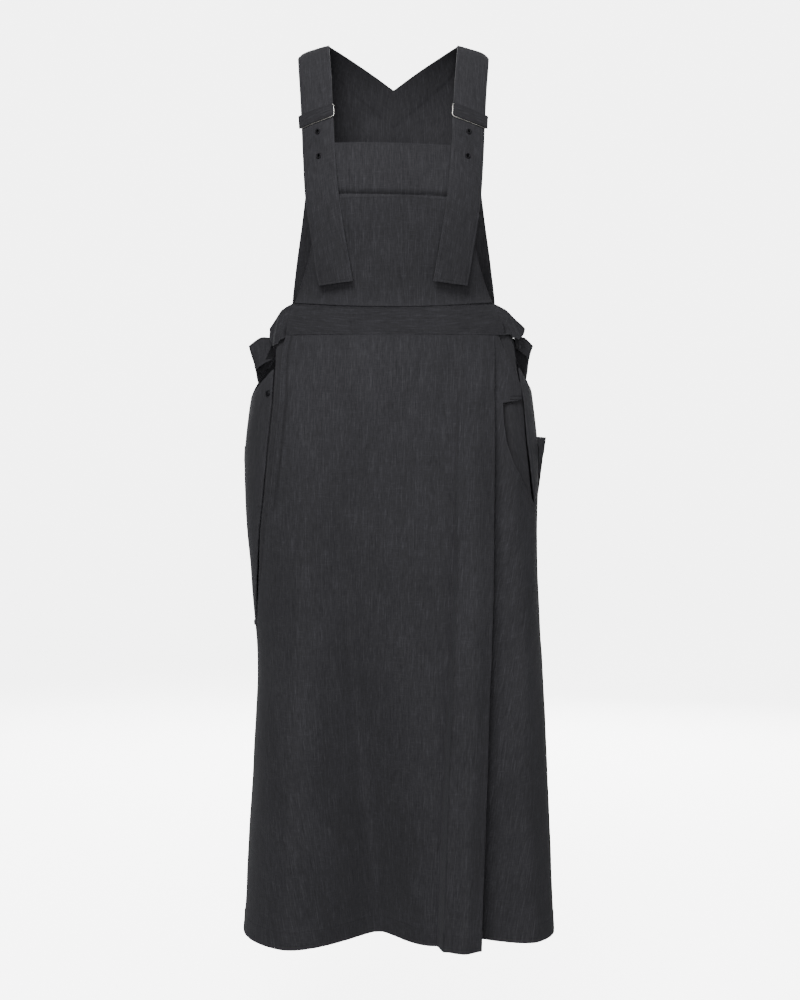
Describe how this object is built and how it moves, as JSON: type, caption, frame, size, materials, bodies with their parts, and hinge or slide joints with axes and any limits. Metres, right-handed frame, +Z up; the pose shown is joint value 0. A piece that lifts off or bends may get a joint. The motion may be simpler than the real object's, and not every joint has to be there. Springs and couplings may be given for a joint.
{
  "type": "pinafore dress",
  "caption": "Long charcoal bib-front pinafore dress with wide adjustable straps, a V back, a waistband with drooping side folds, hip pockets and a full flared skirt.",
  "frame": {"origin": "midway between the two shoulders, at the height where the straps rest on the wearer", "axes": "+Z up, -Y towards the front of the dress, +X towards the right of the front view"},
  "size_m": [0.4361, 0.3124, 1.2314],
  "materials": {
    "cloth": "charcoal melange twill with fine light and dark slubs along the warp, matte with a faint nap",
    "slide_metal": "satin nickel wire rim round each cloth-covered slide",
    "black_metal": "black lacquered eyelets and snap caps, semi-gloss"
  },
  "bodies": {
    "root": {"back_bodice": "cloth", "bib": "cloth", "bib_pocket": "cloth", "waistband_front": "cloth", "waistband_back": "cloth", "skirt_front": "cloth", "skirt_back": "cloth", "strap_left": "cloth", "bib_tab_left": "cloth", "slide_cover_left": "cloth", "side_fold_left": "cloth", "side_loop_left": "cloth", "hip_facing_left": "cloth", "hip_pocket_left": "cloth", "strap_right": "cloth", "bib_tab_right": "cloth", "slide_cover_right": "cloth", "side_fold_right": "cloth", "side_loop_right": "cloth", "hip_facing_right": "cloth", "hip_pocket_right": "cloth", "slide_rim_left": "slide_metal", "slide_rim_right": "slide_metal", "eyelet_left_1": "black_metal", "eyelet_left_2": "black_metal", "eyelet_right_1": "black_metal", "eyelet_right_2": "black_metal", "snap_opening": "black_metal", "snap_seam": "black_metal"}
  },
  "joints": []
}
